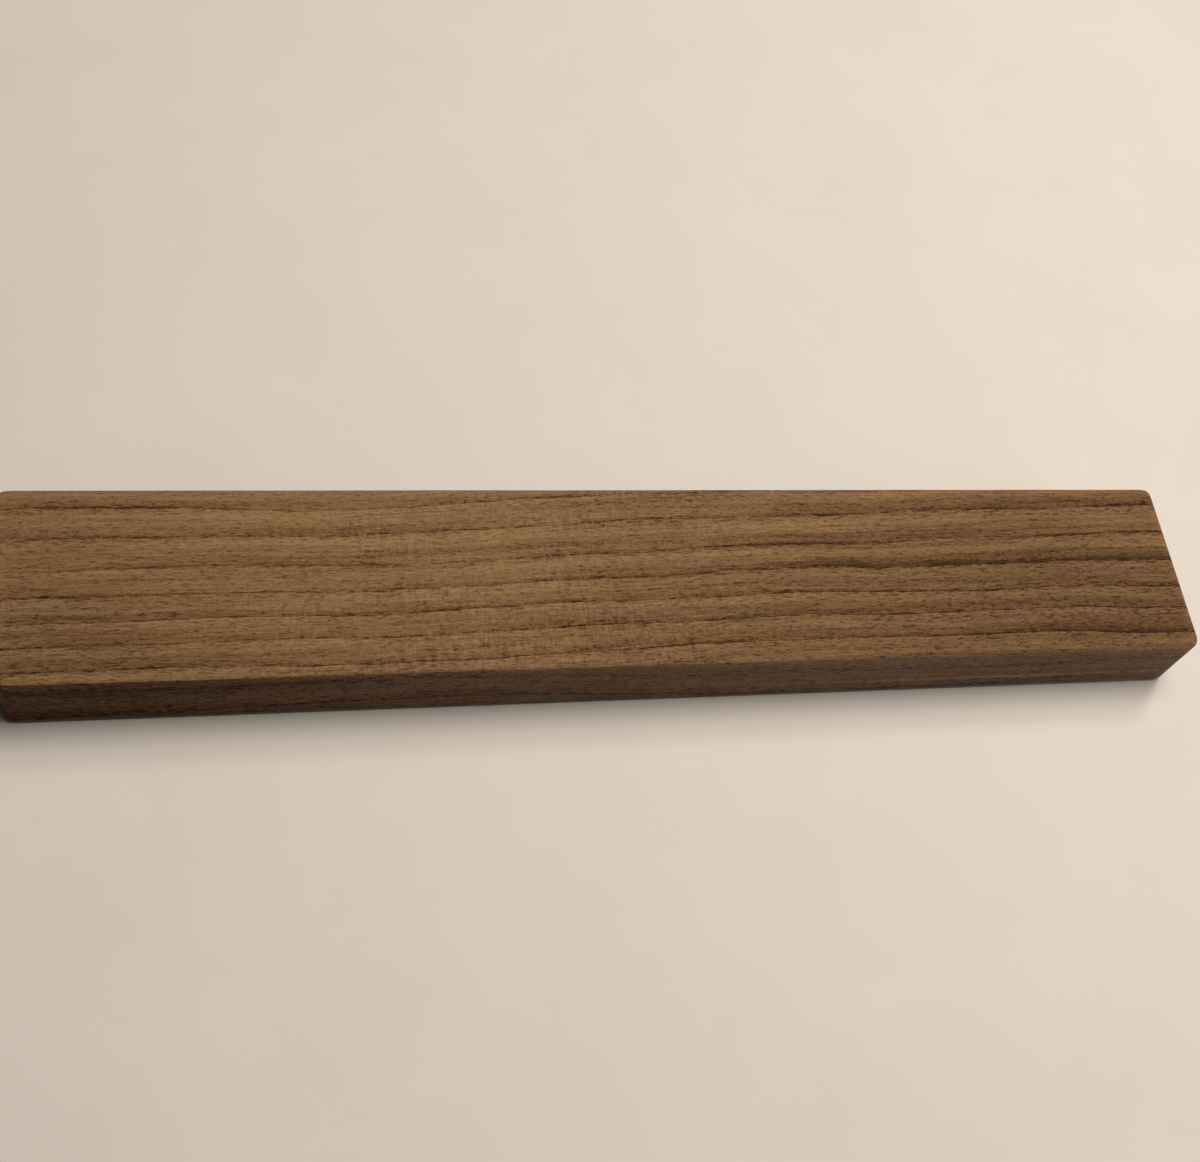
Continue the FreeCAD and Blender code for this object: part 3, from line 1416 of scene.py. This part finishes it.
@dataclass
class TapeDiscs:
    """The six discs of tape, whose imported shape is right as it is."""

    nodes: dict[str, bpy.types.Object]

    def dress(self, tape: bpy.types.Material) -> list[bpy.types.Object]:
        """Dresses every disc.

        Args:
            tape: The discs' finish.

        Returns:
            The discs.
        """
        discs = [self.nodes[f"tape_{place}"] for place in all_places()]
        for disc in discs:
            disc.data.materials.clear()
            disc.data.materials.append(tape)
        return discs


# The studio


@dataclass(frozen=True)
class Softbox:
    """A square area light."""

    name: str
    place: Point
    aim: Point
    width: float
    power: float
    shade: tuple[float, float, float]

    def hang(self) -> bpy.types.Object:
        """Puts the light in the scene.

        Returns:
            The light.
        """
        lamp = bpy.data.lights.new(self.name, "AREA")
        lamp.shape = "SQUARE"
        lamp.size = self.width
        lamp.energy = self.power
        lamp.color = self.shade
        light = bpy.data.objects.new(self.name, lamp)
        light.location = self.place
        towards = Vector(self.aim) - Vector(self.place)
        light.rotation_mode = "QUATERNION"
        light.rotation_quaternion = towards.to_track_quat("-Z", "Y")
        bpy.context.scene.collection.objects.link(light)
        return light


@dataclass(frozen=True)
class Viewpoint:
    """The camera: where it stands, the point it looks at and how it is held."""

    place: Point
    aim: Point
    roll: float
    lens: float
    rise: float

    def set_up(self) -> bpy.types.Object:
        """Puts the camera in the scene and makes it the one in use.

        Returns:
            The camera.
        """
        data = bpy.data.cameras.new("camera")
        data.lens = self.lens
        data.shift_y = self.rise
        camera = bpy.data.objects.new("camera", data)
        camera.location = self.place
        towards = Vector(self.aim) - Vector(self.place)
        held = Quaternion((0.0, 0.0, 1.0), math.radians(self.roll))
        camera.rotation_mode = "QUATERNION"
        camera.rotation_quaternion = towards.to_track_quat("-Z", "Y") @ held
        bpy.context.scene.collection.objects.link(camera)
        bpy.context.scene.camera = camera
        return camera


@dataclass(frozen=True)
class Studio:
    """A plain pale desk under soft light: a window behind on the right, a wide ceiling and a far wall."""

    desk_half_width: float = 6.0
    surround: tuple[float, float, float] = (0.93, 0.88, 0.82)
    surround_strength: float = 0.02
    seen: tuple[float, float, float] = (0.62, 0.545, 0.46)
    lights: tuple[Softbox, ...] = (
        Softbox(
            name="window",
            place=(0.765, 0.645, 1.11),
            aim=(0.0, 0.0, 0.0),
            width=0.32,
            power=5.5,
            shade=(1.0, 0.93, 0.85),
        ),
        Softbox(
            name="ceiling",
            place=(0.35, 0.20, 1.70),
            aim=(0.35, 0.20, 0.0),
            width=1.00,
            power=23.0,
            shade=(1.0, 0.93, 0.86),
        ),
        Softbox(
            name="far wall",
            place=(0.75, -0.38, 0.38),
            aim=(0.0, 0.0, 0.0),
            width=0.35,
            power=0.75,
            shade=(0.90, 0.95, 1.0),
        ),
    )
    view: Viewpoint = Viewpoint(
        place=(-0.1744, -0.2839, 0.4998),
        aim=(-0.0321, -0.0941, 0.0274),
        roll=30.44,
        lens=47.77,
        rise=0.20,
    )

    def set_up(self) -> None:
        """Makes the desk, the lights, the surround and the camera."""
        half = self.desk_half_width
        shape = bmesh.new()
        bmesh.ops.create_grid(shape, x_segments=1, y_segments=1, size=half)
        desk = new_piece("desk_top", shape)
        desk.data.materials.append(DeskFinish().make())
        for light in self.lights:
            light.hang()
        bpy.context.scene.world = self._surround()
        bpy.context.scene.view_settings.view_transform = "Standard"
        self.view.set_up()

    def _surround(self) -> bpy.types.World:
        """Makes the surround, which lights the part only faintly and looks as pale as the desk.

        Returns:
            The surround, as a world.
        """
        world = bpy.data.worlds.new("surround")
        world.use_nodes = True
        nodes, links = world.node_tree.nodes, world.node_tree.links
        faint = nodes["Background"]
        faint.inputs["Color"].default_value = colour(*self.surround)
        faint.inputs["Strength"].default_value = self.surround_strength
        pale = nodes.new("ShaderNodeBackground")
        pale.inputs["Color"].default_value = colour(*self.seen)
        either = nodes.new("ShaderNodeMixShader")
        links.new(nodes.new("ShaderNodeLightPath").outputs["Is Camera Ray"], either.inputs["Fac"])
        links.new(faint.outputs["Background"], either.inputs[1])
        links.new(pale.outputs["Background"], either.inputs[2])
        links.new(either.outputs["Shader"], nodes["World Output"].inputs["Surface"])
        return world


# The whole


def in_millimetres(corner: Vector) -> Point:
    """A place or size in metres, in millimetres."""
    return (corner.x / MM, corner.y / MM, corner.z / MM)


def main() -> None:
    """Builds and dresses every piece of the wrist rest."""
    logging.basicConfig(level=logging.INFO, format="%(name)s: %(message)s")
    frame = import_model()
    low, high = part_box("walnut_bar")
    grain = WalnutGrain(in_millimetres((low + high) / 2), in_millimetres(high - low))
    patterns = Patterns(grain, HandlingMarks(), FineDust())

    rubber = RubberFinish("black_rubber", patterns).make()
    feet = [RubberFoot(*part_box(f"foot_{place}"), place) for place in all_places()]
    for foot in feet:
        LOG.info("made %s", foot.build(rubber).name)

    oiled = WalnutFinish(
        name="oiled_walnut", oil=1.0, open_pores=1.0, rubbed_edge_and_highlight=1.0, relief=0.10 * MM, patterns=patterns
    ).make()
    raw = WalnutFinish(
        name="raw_walnut", oil=0.0, open_pores=0.6, rubbed_edge_and_highlight=0.0, relief=0.16 * MM, patterns=patterns
    ).make()
    _, tape_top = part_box("tape_front_middle")
    bar = WalnutBar(low, high, [foot.middle for foot in feet], feet[0].radius, tape_top.z)
    LOG.info("made %s", bar.build(oiled, raw).name)

    tape = TapeFinish("tissue_tape", patterns).make()
    for disc in TapeDiscs(frame["nodes"]).dress(tape):
        LOG.info("dressed %s", disc.name)

    Studio().set_up()


if __name__ == "__main__":
    main()
